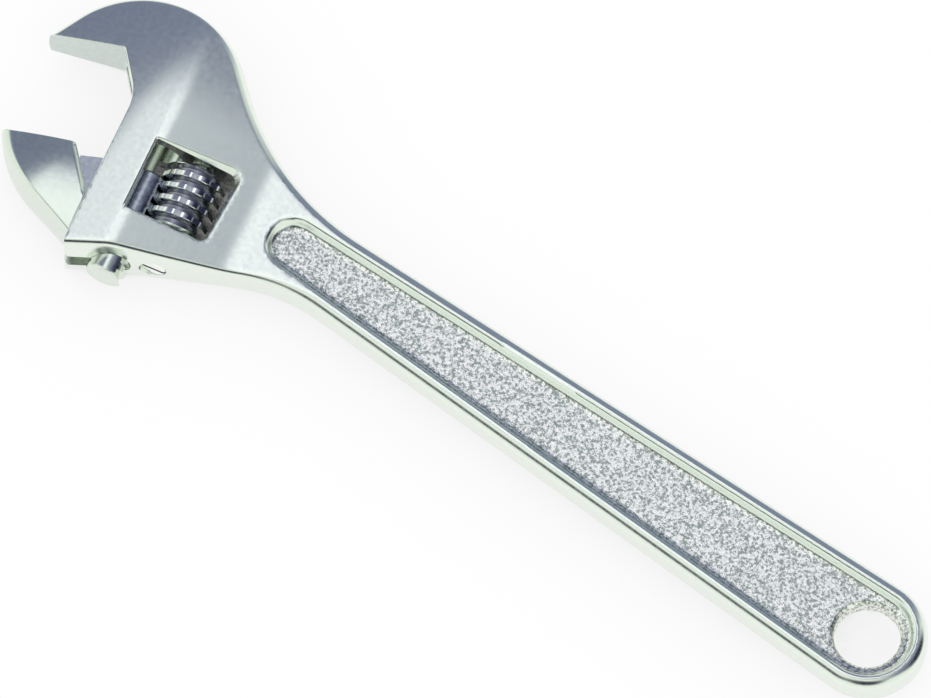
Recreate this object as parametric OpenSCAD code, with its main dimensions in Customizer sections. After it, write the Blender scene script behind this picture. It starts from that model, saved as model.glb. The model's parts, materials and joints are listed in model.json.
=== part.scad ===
// Adjustable wrench of the 300 mm size. One drop forging is the handle, the head and the
// fixed jaw. A sliding jaw hangs on a round shank in a drilled guide, and a knurled worm
// on a slotted pin drives the rack that is cut in the shank.
//
// The origin is the centre of the hanging hole at mid thickness. +X runs along the handle
// to the jaws, +Y points to the side of the sliding jaw and +Z is square to the flat faces.
// Plan places in the head are given in the slide frame: p is square to the slide face and
// q runs along the slide in the opening direction. Its origin is the middle of the worm
// on the axis of the guide bore.

/* [Handle] */
// Radius of the round tail about the hanging hole
tail_r = 16.7; // [14:0.1:19]
// Half width of the handle at the neck
neck_half = 11.9; // [10.5:0.1:13.5]
// Diameter of the hanging hole
hang_hole_d = 18.6; // [12:0.1:20]
// Chamfer round the hanging hole
hang_chamfer = 0.9; // [0.4:0.1:1.5]
// Thickness over the rim of the handle
rim_h = 10.6; // [9:0.1:12.5]
// Thickness of the web between the two recessed panels
web_h = 6.0; // [4:0.1:8]
// Width of the rim from the side of the handle to the edge of the panel
rim_w = 3.5; // [2.8:0.1:4.5]
// Width of the sloping wall of the panel
panel_slope_w = 1.7; // [1:0.1:2.2]
// Rounding of the rim's outer corners
rim_round = 2.1; // [1.2:0.1:2.4]
// Rounding of the head's edges
edge_round = 0.6; // [0.3:0.1:1]
// Distance from the round end of the panel to the middle of the worm
panel_end_gap = 36.5; // [34:0.5:45]
// How much the round end of the panel is narrower than the rim leaves room for
panel_end_trim = 0.7; // [0.4:0.1:1.5]
// Distance from the end of the handle's taper to the middle of the worm
neck_gap = 55; // [52:1:60]

/* [Head] */
// Distance of the worm's middle from the hanging hole, along the handle
head_x = 240; // [210:1:270]
// Offset of the guide bore from the handle's centreline
head_y = 8.6; // [7.5:0.1:9.5]
// Lean of the slide away from square to the handle
slide_lean = 12; // [10:0.5:14]
// Thickness of the head at its ridge
head_h = 19.8; // [19.2:0.1:21.5]
// Distance of the ridge from the guide bore's axis
ridge_p = 0.9; // [0:0.1:2]
// Slope of the face from the ridge down to the handle
neck_slope = 8; // [6:0.1:9]
// Slope of the face from the ridge down to the slide
throat_slope = 2.5; // [1:0.5:4]
// Bulge of the forged side walls, over the full head thickness
wall_bulge = 1.8; // [1:0.1:3]
// Radius of the round back of the head
back_r = 30; // [28.5:0.1:31]
// Place of the centre of the round back, across and along the slide
back_centre = [12.1, -21.8];
// Direction across the round back where it runs out straight to the tip
tip_turn = -19; // [-30:1:-15]
// Angle of the back flare to the handle
back_flare = 39; // [36:0.5:41]
// Blend radius from the handle to the back flare
back_blend_r = 76; // [60:1:85]
// Angle of the front flare to the handle
front_flare = 26.5; // [25:0.5:28]
// Blend radius from the handle to the front flare
front_blend_r = 50; // [35:1:60]
// Height of the front corner of the head over the worm's middle
front_corner_q = 25; // [24:0.1:27]
// Angle of the short edge between the front corner and the slide
edge_angle = 33; // [30:0.5:37]
// Blend radius from the front flare to the short edge
edge_blend_r = 40; // [30:1:60]

/* [Jaws] */
// Angle of the jaw faces to the handle
jaw_angle = 22.5; // [20:0.5:25]
// Opening between the jaw faces along the slide, as modelled
jaw_open = 30.9; // [20:0.1:31]
// Distance of the slide face from the guide bore's axis
slide_p = 13; // [12.5:0.1:14]
// Reach of the jaw tips from the guide bore's axis
tip_p = 43; // [39:0.1:43.5]
// Inner corner of the fixed jaw, across and along the slide
jaw_corner = [21.5, -32.7];
// Rounding of the head's corner beside the slide
slide_corner_r = 3; // [2:0.5:4]
// How far the round stops short of the corner
slide_corner_back = 0.8; // [0.5:0.1:1.2]
// Height on the slide face where the throat starts to lean
throat_q = -20.5; // [-23:0.5:-18]
// Rounding of the throat's corner, where it starts to lean
throat_r = 15; // [12:0.5:18]
// Radius of the faces that curve down to the fixed jaw's tip
tip_curve_r = 140; // [130:5:180]
// Radius of the faces that curve down to the sliding jaw's tip
slab_tip_r = 120; // [100:5:160]
// Distance past the worm's middle, along the handle, where the tip curves start
tip_start = 13; // [10:0.5:16]
// Radius of the sliding jaw's crowned faces
crown_r = 75; // [60:5:120]
// Thickness of the sliding jaw at its heel
slab_h = 17.5; // [15:0.1:18.5]
// Height of the sliding jaw's heel over the worm's middle, as modelled
heel_q = 23.7; // [22:0.1:24.5]
// Radius of the sliding jaw's back
slab_back_r = 44.7; // [43:0.1:48]
// Distance of that radius's centre from the heel, back toward the worm
slab_back_p = 8.5; // [7.5:0.1:9.5]
// Place on the ridge of the crowned faces, across and along the slide
crown_at = [30, 9];
// Turn of the crown's ridge away from the jaw face
crown_turn = 6; // [3:0.5:9]
// Rounding of the heel's corner that nests in the throat
nest_r = 10; // [8:0.5:11]
// Width of the bevel along the edge that nests in the throat
nest_bevel_w = 2.2; // [1.5:0.1:3]
// Depth of that bevel
nest_bevel_h = 3.4; // [2:0.1:4]
// Distance from the fixed jaw's corner to where that edge ends
nest_corner_in = 1.1; // [0.6:0.1:1.6]
// Width of the corner between that edge and the jaw face
nest_corner_w = 1.9; // [1.5:0.1:2.5]

/* [Guide and rack] */
// Diameter of the sliding jaw's shank
shank_d = 11.2; // [10:0.1:12]
// Inner end of the shank, along the slide
shank_q0 = -3; // [-4:0.1:-2]
// Length of the shank
shank_len = 32.5; // [30:0.1:34]
// Thickness of the neck between the shank and the jaw
neck_h = 5.5; // [4.5:0.1:6.5]
// Lower end of the neck beside the slide, along it
neck_q0 = -2.4; // [-3:0.1:-1]
// Lower end of the neck at its outer edge, which rises to clear the fixed jaw's corner
neck_edge_q0 = -0.2; // [-0.6:0.1:1]
// Distance of the neck's edge and top inside the outline of the sliding jaw
neck_in = 1.2; // [0.8:0.1:2]
// Chamfer at the inner end of the shank
shank_chamfer = 0.6; // [0.3:0.1:1]
// Chamfer at the outer end of the shank
shank_end_chamfer = 1; // [0.5:0.1:1.5]
// Length of the guide bore and the slot past the closed jaw's shank and neck
bore_spare = 1.2; // [0.8:0.1:3]

/* [Worm] */
// Diameter over the worm's thread
worm_d = 18.6; // [17:0.1:19.2]
// Length of the worm
worm_len = 20; // [18:0.1:20.4]
// Distance between the worm's axis and the guide bore's axis
worm_offset = 11.6; // [11.4:0.1:12]
// Distance from one turn of the thread to the next
pitch = 4; // [3.5:0.1:4.5]
// Depth of the thread
thread_depth = 2.4; // [2:0.1:2.6]
// Width of the thread at its crest
crest_w = 1.2; // [0.9:0.1:1.4]
// Width of the thread at its root
root_w = 2.1; // [1.8:0.1:2.3]
// Number of knurl notches round the thread
notches = 14; // [8:1:18]
// Depth of a knurl notch
notch_depth = 1.1; // [0.5:0.1:1.5]
// Length over which the thread tapers down at each end of the worm
worm_cone = 1.4; // [1:0.1:2]

/* [Window] */
// Length of the window along the worm
window_len = 22; // [21.2:0.1:24]
// Edge of the window on the handle side, from the guide bore's axis
window_p0 = -22.4; // [-24:0.1:-21.5]
// Edge of the window on the slide side, from the guide bore's axis
window_p1 = 1.7; // [1:0.1:3]
// Corner radius of the window on the handle side
window_r = 2; // [1:0.1:3]
// Width of the bevel round the window
window_bevel = 0.9; // [0.4:0.1:1.4]

/* [Pin and spring] */
// Diameter of the worm pin
pin_d = 4; // [3.2:0.1:4.6]
// Diameter of the slotted head of the pin
pin_head_d = 7.2; // [6.4:0.1:8]
// Height of the slotted head
pin_head_h = 2.6; // [2:0.1:3.5]
// Place of the top of the pin's head along the slide
pin_top_q = 21.6; // [21:0.1:22]
// Depth of the pin's seat in the head beyond the window
pin_seat = 7; // [5:0.5:10]
// Width of the driver slot
slot_w = 1; // [0.8:0.1:1.4]
// Depth of the driver slot
slot_depth = 1.1; // [0.8:0.1:1.5]
// Wire diameter of the worm spring
wire_d = 0.7; // [0.5:0.1:0.8]
// Mean diameter of the worm spring
coil_d = 5.6; // [5.4:0.1:6]
// Turns of the worm spring
coil_turns = 3.5; // [2:0.5:4]
// Depth of the worm's counterbore for the spring
spring_bore = 3; // [2:0.1:4]
// Radial room round the spring in its counterbore
spring_room = 0.4; // [0.3:0.1:0.6]

/* [Fits] */
// Radial clearance of the shank in its guide
slide_fit = 0.08; // [0.05:0.01:0.1]
// Gap between flat sliding faces
flat_gap = 0.15; // [0.1:0.01:0.25]
// Radial clearance of the worm on its pin
pin_fit = 0.06; // [0.03:0.01:0.1]
// Clearance all round the meshing teeth
mesh_gap = 0.32; // [0.3:0.01:0.4]
// Clearance of the closed jaw in the lean of the throat
throat_gap = 1.2; // [0.8:0.1:1.6]

/* [Hidden] */
$fn = 96;
// Facets of the large arcs and of the panel's round ends
arc_facets = 360;
tail_facets = 64;
panel_end_facets = 48;
// Size of a cut that has to pass everything
big = 400;
// How far a cut runs past the face that it opens
past = 1;
head_half = head_h / 2;
rim_half = rim_h / 2;
neck_x = head_x - neck_gap;
// Angle of each handle side to the centreline, from the tail circle to the neck
taper = asin((tail_r - neck_half) / neck_x);
face_lean = jaw_angle - slide_lean;
worm_p = -worm_offset;
worm_r = worm_d / 2;
core_r = worm_r - thread_depth;
// The worm rests against the outer end of its window and the spring pushes from the inner end
worm_q1 = window_len / 2 - flat_gap;
worm_q0 = worm_q1 - worm_len;
lead_angle = atan(pitch / (PI * (worm_d - thread_depth)));
shank_r = shank_d / 2;
guide_r = shank_r + slide_fit;
heel_p = slide_p + flat_gap;
neck_edge_p = jaw_corner[0] - neck_in;
function neck_low_q(p) = neck_q0
    + (p - heel_p) * (neck_edge_q0 - neck_q0) / (neck_edge_p - heel_p);
// Height of the sliding jaw's edges over the fixed jaw's edges that they close on
nest_up = jaw_open + throat_gap;
slab_centre = [heel_p - slab_back_p, heel_q - sqrt(pow(slab_back_r, 2) - pow(slab_back_p, 2))];
// Direction where the cut of the sliding jaw's back starts and the angle that it sweeps
slab_turn = -20;
slab_sweep = 120;

// Plan helpers: points are [x, y], angles are degrees from the centreline
function dir(a) = [cos(a), sin(a)];
function to_plan(pq) = [head_x, head_y]
    + [pq[0] * cos(slide_lean) - pq[1] * sin(slide_lean),
       pq[0] * sin(slide_lean) + pq[1] * cos(slide_lean)];
function cross2(a, b) = a[0] * b[1] - a[1] * b[0];
function meet(a, da, b, db) = a + dir(da) * cross2(b - a, dir(db)) / cross2(dir(da), dir(db));
// Blend of radius r at the corner c between a line at angle a0 and one at a1
function blend_run(r, a0, a1) = r * tan(abs(a1 - a0) / 2);
function blend_from(c, r, a0, a1) = c - dir(a0) * blend_run(r, a0, a1);
function blend_to(c, r, a0, a1) = c + dir(a1) * blend_run(r, a0, a1);
function blend_centre(c, r, a0, a1) =
    blend_from(c, r, a0, a1) + r * dir(a0 + (a1 > a0 ? 90 : -90));

// Corners of the forging's outline, front side (+Y) and back side (-Y)
front_tail = tail_r * dir(90 - taper);
back_tail = tail_r * dir(taper - 90);
back_c = to_plan(back_centre);
back_touch = back_c + back_r * dir(-90 - back_flare);
back_flare_c = meet(back_tail, taper, back_touch, -back_flare);
front_corner = to_plan([0, front_corner_q]);
front_flare_c = meet(front_tail, -taper, front_corner, front_flare);
slide_end = meet(front_corner, edge_angle, to_plan([slide_p, 0]), 90 + slide_lean);

// Fixed jaw face and throat, as lines in the slide frame
function face_q(p) = jaw_corner[1] + (p - jaw_corner[0]) * tan(face_lean);
throat_lean = (throat_q - jaw_corner[1]) / (jaw_corner[0] - slide_p);
function throat_line_q(p) = jaw_corner[1] + (jaw_corner[0] - p) * throat_lean;
// Run of points, in the slide frame, that rounds a corner between the slide and the throat
throat_steps = 6;
function throat_run(c, r) = let (a = -atan(throat_lean))
    [for (i = [0:throat_steps]) blend_centre(c, r, -90, a)
        + r * dir(-180 + (a + 90) * i / throat_steps)];

// Height of the head's faces over mid thickness, as the planes that cut them
rim_p = ridge_p - (head_half - rim_half) / tan(neck_slope);
function ridge_face(p) = p < rim_p ? rim_half
    : p < ridge_p ? head_half - (ridge_p - p) * tan(neck_slope)
    : head_half - (p - ridge_p) * tan(throat_slope);
function tip_face(dx) = dx < 0 ? head_half
    : head_half - tip_curve_r + sqrt(pow(tip_curve_r, 2) - dx * dx);
function face_z(xy) = min(tip_face(xy[0] - head_x - tip_start),
    ridge_face((xy - [head_x, head_y]) * dir(slide_lean)));

// Forged wall: it bulges at mid thickness and rounds over at its crest. The rounding fades
// from the soft rim of the handle to the crisp edge of the head.
// A wall has rings up its bulge, rings round its crest and one at the top of the blank.
bulge_rings = 3;
round_rings = 3;
wall_rings = bulge_rings + round_rings + 1;
round_step = 90 / round_rings;
// The crest stands this far over the face that is cut through it
crest_over = 0.05;
blank_over = 2;
blank_top = head_half + blank_over;
// Length of the straight run past the tip, which the jaw gap cuts off
tip_over = 16;
// How far the jaw gap's cut reaches past the jaw tips and the front corner
gap_over = 20;
// The outline comes back through the jaw gap at these distances from the slide face, first
// at this height over the throat's corner and then level with the worm's middle
way_far = 14;
way_near = 5;
way_up = 4;
// How far the outline runs past the slide's top along the short edge
edge_over = 4;
// Steps of the outline round the tail, the back of the head and each blend
tail_steps = 20;
back_steps = 22;
back_blend_steps = 10;
front_blend_steps = 8;
edge_blend_steps = 2;
// The rim's rounding starts to fade this far before the neck and does so over this length
fade_before = 5;
fade_len = 25;
fade_x = neck_x - fade_before;
function wall_inset(z) = wall_bulge * pow(z / head_half, 2);
function fade(x) = let (t = max(0, min(1, (x - fade_x) / fade_len))) t * t * (3 - 2 * t);
function crest_r(x) = rim_round + (edge_round - rim_round) * fade(x);
function ring_z(m, h, r) = m < bulge_rings ? (h - r) * m / bulge_rings
    : m < wall_rings ? h - r + r * sin(round_step * (m - bulge_rings)) : blank_top;
function ring_inset(m, h, r) = wall_inset(min(ring_z(m, h, r), h))
    + (m < bulge_rings ? 0 : r * (1 - cos(round_step * min(m - bulge_rings, round_rings))));

module slide_frame() translate([head_x, head_y, 0]) rotate([0, 0, slide_lean]) children();

// The forging's outline, anticlockwise, as pairs of a point and its outward direction. Between
// the tip and the slide's top it runs through the open space that the jaw gap cuts out.
function round_run(c, r, a0, a1, n) =
    [for (i = [0:n]) let (a = a0 + (a1 - a0) * i / n) [c + r * dir(a), dir(a)]];
function hollow_run(c, r, a0, a1, n) =
    [for (i = [0:n]) let (a = a0 + (a1 - a0) * i / n) [c + r * dir(a), -dir(a)]];
outline = concat(
    hollow_run(blend_centre(back_flare_c, back_blend_r, taper, -back_flare),
        back_blend_r, 90 + taper, 90 - back_flare, back_blend_steps),
    round_run(back_c, back_r, -90 - back_flare, tip_turn, back_steps),
    [[back_c + back_r * dir(tip_turn) + tip_over * dir(tip_turn + 90), dir(tip_turn)]],
    [for (pq = [[slide_p + way_far, throat_q + way_up], [slide_p + way_near, 0]])
        [to_plan(pq), dir(slide_lean)]],
    [[slide_end + edge_over * dir(edge_angle), dir(edge_angle + 90)]],
    hollow_run(blend_centre(front_corner, edge_blend_r, front_flare, edge_angle),
        edge_blend_r, edge_angle - 90, front_flare - 90, edge_blend_steps),
    hollow_run(blend_centre(front_flare_c, front_blend_r, -taper, front_flare),
        front_blend_r, front_flare - 90, -90 - taper, front_blend_steps),
    round_run([0, 0], tail_r, 90 - taper, 270 + taper, tail_steps));

// The forging before it is machined, with its faces left too high
module blank() {
    n = len(outline);
    rings = 2 * wall_rings + 1;
    points = concat(
        [for (k = [-wall_rings:wall_rings]) for (o = outline)
            let (r = crest_r(o[0][0]), h = face_z(o[0]) + crest_over, m = abs(k),
                xy = o[0] - o[1] * ring_inset(m, h, r))
            [xy[0], xy[1], sign(k) * ring_z(m, h, r)]],
        [[neck_x, 0, -blank_top], [neck_x, 0, blank_top]]);
    low = rings * n;
    top = (rings - 1) * n;
    walls = [for (k = [0:rings - 2]) for (i = [0:n - 1]) let (j = (i + 1) % n)
        [k * n + i, (k + 1) * n + i, (k + 1) * n + j, k * n + j]];
    caps = concat([for (i = [0:n - 1]) [low, i, (i + 1) % n]],
        [for (i = [0:n - 1]) [low + 1, top + (i + 1) % n, top + i]]);
    polyhedron(points, concat(walls, caps), convexity = 8);
}

// Open space in front of the slide, down to the fixed jaw's face
module jaw_gap() {
    far_p = tip_p + gap_over;
    far_q = front_corner_q + gap_over;
    slide_frame() linear_extrude(big, center = true) polygon(concat(
        [[slide_p, far_q]], throat_run([slide_p, throat_q], throat_r),
        [jaw_corner, [far_p, face_q(far_p)], [far_p, far_q]]));
}

// What lies above the ridged face of the head and the flat of the handle's rim
module above_ridge()
    slide_frame() rotate([90, 0, 0]) linear_extrude(2 * big, center = true) polygon([
        [-big, rim_half], [rim_p, rim_half], [ridge_p, head_half],
        [ridge_p + big, head_half - big * tan(throat_slope)],
        [ridge_p + big, big], [-big, big]]);

// What lies above a face that starts flat at height top and curves down toward the tips
module above_tip(top, r)
    translate([head_x + tip_start, 0, 0]) rotate([90, 0, 0])
    linear_extrude(big, center = true) difference() {
        square([r / 2, r / 2]);
        translate([0, top - r]) circle(r, $fn = arc_facets);
    }

// What lies above a crowned face whose ridge passes through a point at an angle
module above_crown(through, angle, top)
    translate(through) rotate([0, 0, angle]) rotate([90, 0, 90])
    linear_extrude(big, center = true) difference() {
        translate([-crown_r / 2, 0]) square(crown_r);
        translate([0, top - crown_r]) circle(crown_r, $fn = arc_facets);
    }

module both_faces() {
    children();
    mirror([0, 0, 1]) children();
}

// Recessed panel of the handle, with sloping walls and a flat floor
module panel_recess() {
    floor_z = web_h / 2;
    depth = rim_half - floor_z;
    inset = rim_w + panel_slope_w;
    end_r = neck_half - panel_end_trim - inset;
    end_x = head_x - panel_end_gap - end_r - panel_slope_w;
    hull() {
        translate([0, 0, floor_z]) cylinder(h = 2 * depth,
            r1 = tail_r - inset, r2 = tail_r - inset + 2 * panel_slope_w, $fn = tail_facets);
        translate([end_x, 0, floor_z]) cylinder(h = 2 * depth,
            r1 = end_r, r2 = end_r + 2 * panel_slope_w, $fn = panel_end_facets);
    }
}

// Rounds the head's corner beside the slide
module slide_corner() translate(slide_end) rotate([0, 0, slide_lean]) difference() {
    r = slide_corner_r;
    translate([-r, -r, -head_h]) cube([2 * r, 3 * r, 2 * head_h]);
    translate([-r, -r - slide_corner_back, -head_h - past])
        cylinder(h = 2 * (head_h + past), r = r);
}

module hang_hole() {
    cylinder(h = head_h, d = hang_hole_d, center = true);
    both_faces() translate([0, 0, web_h / 2 - hang_chamfer])
        cylinder(h = hang_chamfer + past, r1 = hang_hole_d / 2,
            r2 = hang_hole_d / 2 + hang_chamfer + past);
}

// Window for the worm, with small corners on the handle side and a bevel on both faces
module worm_window() {
    half = window_len / 2;
    slide_frame() {
        linear_extrude(2 * head_h, center = true) {
            translate([window_p0 + window_r, -half])
                square([window_p1 - window_p0 - window_r, window_len]);
            translate([window_p0, -half + window_r])
                square([window_r, window_len - 2 * window_r]);
            for (side = [-1, 1])
                translate([window_p0 + window_r, side * (half - window_r)]) circle(window_r);
        }
        both_faces() translate([ridge_p, 0, head_half]) rotate([0, -neck_slope, 0])
            window_funnel(half);
    }
}

module window_funnel(half) {
    w = window_bevel;
    p0 = window_p0 - ridge_p;
    p1 = window_p1 - ridge_p;
    intersection() {
        rotate([90, 0, 0]) linear_extrude(big, center = true) polygon([
            [p0, -w], [p1, -w], [p1 + 2 * w, w], [p0 - 2 * w, w]]);
        rotate([90, 0, 90]) linear_extrude(big, center = true) polygon([
            [-half, -w], [half, -w], [half + 2 * w, w], [-half - 2 * w, w]]);
    }
}

// Guide bore with its slot for the neck, open at the front edge of the head
module jaw_guide() {
    bore_q = shank_q0 - jaw_open - bore_spare;
    slot_h = neck_h + 2 * flat_gap;
    slot_p = jaw_corner[0];
    slide_frame() {
        translate([0, bore_q, 0]) rotate([-90, 0, 0]) cylinder(h = big, r = guide_r);
        translate([0, -jaw_open - bore_spare / 2]) linear_extrude(slot_h, center = true)
            polygon([[0, neck_q0], [heel_p, neck_q0], [slot_p, neck_low_q(slot_p)],
                [slot_p, big], [0, big]]);
    }
}

module pin_hole() slide_frame() translate([worm_p, 0, 0]) rotate([-90, 0, 0]) {
    translate([0, 0, -window_len / 2 - pin_seat])
        cylinder(h = big, r = pin_d / 2 + pin_fit);
    translate([0, 0, pin_top_q - pin_head_h - flat_gap])
        cylinder(h = big, r = pin_head_d / 2 + flat_gap);
}

module body() color([0.72, 0.76, 0.76]) difference() {
    blank();
    jaw_gap();
    both_faces() {
        above_ridge();
        above_tip(head_half, tip_curve_r);
        panel_recess();
    }
    slide_corner();
    hang_hole();
    worm_window();
    jaw_guide();
    pin_hole();
}

// Outline of the sliding jaw in the slide frame, open at its round back, which slab_wall cuts.
// It nests in the throat when it closes.
module slab_plan() {
    corner_p0 = jaw_corner[0] - nest_corner_in;
    corner_p1 = corner_p0 + nest_corner_w;
    polygon(concat([[heel_p, 2 * heel_q]],
        throat_run([heel_p, throat_line_q(heel_p) + nest_up], nest_r),
        [[corner_p0, throat_line_q(corner_p0) + nest_up],
        [corner_p1, face_q(corner_p1) + jaw_open],
        [tip_p, face_q(tip_p) + jaw_open], [tip_p, 2 * heel_q]]));
}

module slab() {
    w = nest_bevel_w;
    h = nest_bevel_h;
    difference() {
        slide_frame() linear_extrude(slab_h, center = true) slab_plan();
        slide_frame() {
            slab_wall();
            // Bevel along the lean that nests in the throat
            both_faces() translate([heel_p, throat_line_q(heel_p) + nest_up, slab_h / 2])
                rotate([0, 0, -atan(throat_lean)]) rotate([90, 0, 90])
                linear_extrude(2 * slab_back_r, center = true)
                polygon([[-past, -h * (1 + past / w)], [-past, past], [w * (1 + past / h), past]]);
        }
        both_faces() {
            above_tip(slab_h / 2, slab_tip_r);
            above_crown(to_plan(crown_at), jaw_angle + crown_turn, slab_h / 2);
        }
    }
}

// Cuts the bulging wall of the sliding jaw's round back, from short of its tip's direction
// to past its heel's
module slab_wall() translate(slab_centre) rotate([0, 0, slab_turn])
    rotate_extrude(angle = slab_sweep) difference() {
        bulge_r = pow(head_half, 2) / (2 * wall_bulge);
        translate([slab_back_r / 2, -head_half]) square([2 * slab_back_r, head_h]);
        translate([slab_back_r - bulge_r, 0]) circle(bulge_r, $fn = arc_facets);
    }

// Round shank with the rack: relief for the worm's core and one groove for each turn
module shank() {
    q1 = shank_q0 + shank_len;
    reach = worm_r + mesh_gap;
    tip_r = core_r + mesh_gap;
    first = ceil((shank_q0 - pitch) / pitch);
    last = floor((q1 + pitch) / pitch);
    slide_frame() difference() {
        translate([0, shank_q0, 0]) rotate([-90, 0, 0]) rotate_extrude() polygon([
            [0, 0], [shank_r - shank_chamfer, 0], [shank_r, shank_chamfer],
            [shank_r, shank_len - shank_end_chamfer],
            [shank_r - shank_end_chamfer, shank_len], [0, shank_len]]);
        translate([worm_p, shank_q0 - past, 0]) rotate([-90, 0, 0])
            cylinder(h = shank_len + 2 * past, r = tip_r);
        for (k = [first:last])
            translate([worm_p, k * pitch, 0]) rotate([lead_angle, 0, 0]) rotate([-90, 0, 0])
            rack_groove(reach);
    }
}

module rack_groove(reach) {
    flank = (root_w - crest_w) / 2 / thread_depth;
    tip = crest_w / 2 + mesh_gap;
    rotate_extrude() polygon([[0, -tip - reach * flank], [reach, -tip],
        [reach, tip], [0, tip + reach * flank]]);
}

// Flat neck between the shank and the jaw, which runs in the slot of the guide
module neck() {
    edge_p = neck_edge_p;
    heel_in = heel_p + neck_in;
    slide_frame() linear_extrude(neck_h, center = true) polygon([
        [0, neck_q0], [heel_p, neck_q0], [edge_p, neck_low_q(edge_p)],
        [edge_p, throat_line_q(edge_p - neck_in) + nest_up],
        [heel_in, throat_line_q(heel_p) + nest_up], [heel_in, heel_q - neck_in],
        [0, heel_q - neck_in]]);
}

module sliding_jaw() color([0.66, 0.71, 0.73]) union() {
    slab();
    neck();
    shank();
}

// Worm surface: each column of points climbs one pitch round the axis, so the last column
// meets the first one turn higher. Four points a turn draw the thread's outline.
worm_steps = 4 * notches;
worm_turns = ceil(worm_len / pitch) + 3;
worm_rows = 4 * worm_turns;
thread_at = [-root_w / 2, -crest_w / 2, crest_w / 2, root_w / 2];
function notch_at(i) = i % 4 < 2 ? 0 : notch_depth;
function thread_z(row, i) = (floor(row / 4) - floor(worm_turns / 2)) * pitch
    + thread_at[row % 4] + pitch * i / worm_steps;
// The thread tapers down to the core over the last stretch at each end of the worm
function taper_r(z) = core_r + crest_over
    + max(0, min(z - worm_q0, worm_q1 - z)) * thread_depth / worm_cone;
function thread_r(row, i) = (row % 4 == 1 || row % 4 == 2)
    ? min(worm_r - notch_at(i), taper_r(thread_z(row, i))) : core_r;

module thread_solid() {
    rows = worm_rows + 1;
    points = concat(
        [for (i = [0:worm_steps - 1]) for (row = [0:worm_rows])
            let (a = 360 * i / worm_steps, r = thread_r(row, i))
            [r * cos(a), r * sin(a), thread_z(row, i)]],
        [[0, 0, thread_z(0, worm_steps / 2)], [0, 0, thread_z(worm_rows, worm_steps / 2)]]);
    low = worm_steps * rows;
    high = low + 1;
    top = worm_rows;
    sides = [for (i = [0:worm_steps - 2]) for (row = [0:worm_rows - 1])
        [i * rows + row, i * rows + row + 1, (i + 1) * rows + row + 1, (i + 1) * rows + row]];
    seam_at = (worm_steps - 1) * rows;
    seam = [for (row = [0:worm_rows - 5])
        [seam_at + row, seam_at + row + 1, row + 5, row + 4]];
    bottom = concat(
        [for (i = [0:worm_steps - 2]) [low, i * rows, (i + 1) * rows]],
        [[low, seam_at, 4]],
        [for (row = [0:3]) [low, row + 1, row]]);
    cap = concat(
        [for (i = [0:worm_steps - 2]) [high, (i + 1) * rows + top, i * rows + top]],
        [[high, top, seam_at + top - 4]],
        [for (row = [top - 4:top - 1]) [high, seam_at + row, seam_at + row + 1]]);
    polyhedron(points, concat(sides, seam, bottom, cap), convexity = 10);
}

module worm() color([0.85, 0.86, 0.88])
    slide_frame() translate([worm_p, 0, 0]) rotate([-90, 0, 0]) difference() {
        intersection() {
            thread_solid();
            translate([-worm_d, -worm_d, worm_q0]) cube([2 * worm_d, 2 * worm_d, worm_len]);
        }
        translate([0, 0, worm_q0 - past])
            cylinder(h = worm_len + 2 * past, r = pin_d / 2 + pin_fit);
        translate([0, 0, worm_q0 - past])
            cylinder(h = spring_bore + past, r = (coil_d + wire_d) / 2 + spring_room);
    }

module worm_pin() color([0.8, 0.82, 0.82])
    slide_frame() translate([worm_p, 0, 0]) rotate([-90, 0, 0]) difference() {
        pin_q0 = flat_gap - window_len / 2 - pin_seat;
        head_q = pin_top_q - pin_head_h;
        union() {
            translate([0, 0, pin_q0]) cylinder(h = head_q + pin_head_h / 2 - pin_q0, d = pin_d);
            translate([0, 0, head_q]) cylinder(h = pin_head_h, d = pin_head_d);
        }
        translate([-pin_head_d, -slot_w / 2, pin_top_q - slot_depth])
            cube([2 * pin_head_d, slot_w, slot_depth + past]);
    }

module worm_spring() {
    steps = 14;
    sides = 6;
    count = round(coil_turns * steps);
    q0 = -window_len / 2 + wire_d / 2 + crest_over;
    q1 = worm_q0 + spring_bore - wire_d / 2 - crest_over;
    r = coil_d / 2;
    points = [for (i = [0:count]) for (j = [0:sides - 1])
        let (a = 360 * i / steps, b = 360 * j / sides, rr = r + wire_d / 2 * cos(b))
        [rr * cos(a), rr * sin(a), q0 + (q1 - q0) * i / count + wire_d / 2 * sin(b)]];
    walls = [for (i = [0:count - 1]) for (j = [0:sides - 1])
        let (a = i * sides, b = (j + 1) % sides)
        [a + j, a + sides + j, a + sides + b, a + b]];
    ends = [[for (j = [0:sides - 1]) j],
        [for (j = [sides - 1:-1:0]) count * sides + j]];
    color([0.5, 0.52, 0.55])
        slide_frame() translate([worm_p, 0, 0]) rotate([-90, 0, 0])
        polyhedron(points, concat(walls, ends), convexity = 6);
}

body();
sliding_jaw();
worm();
worm_pin();
worm_spring();
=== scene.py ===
import json
import math
import bmesh
import bpy
import numpy as np
from mathutils import Matrix, Vector, kdtree
from mathutils.geometry import delaunay_2d_cdt


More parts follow.
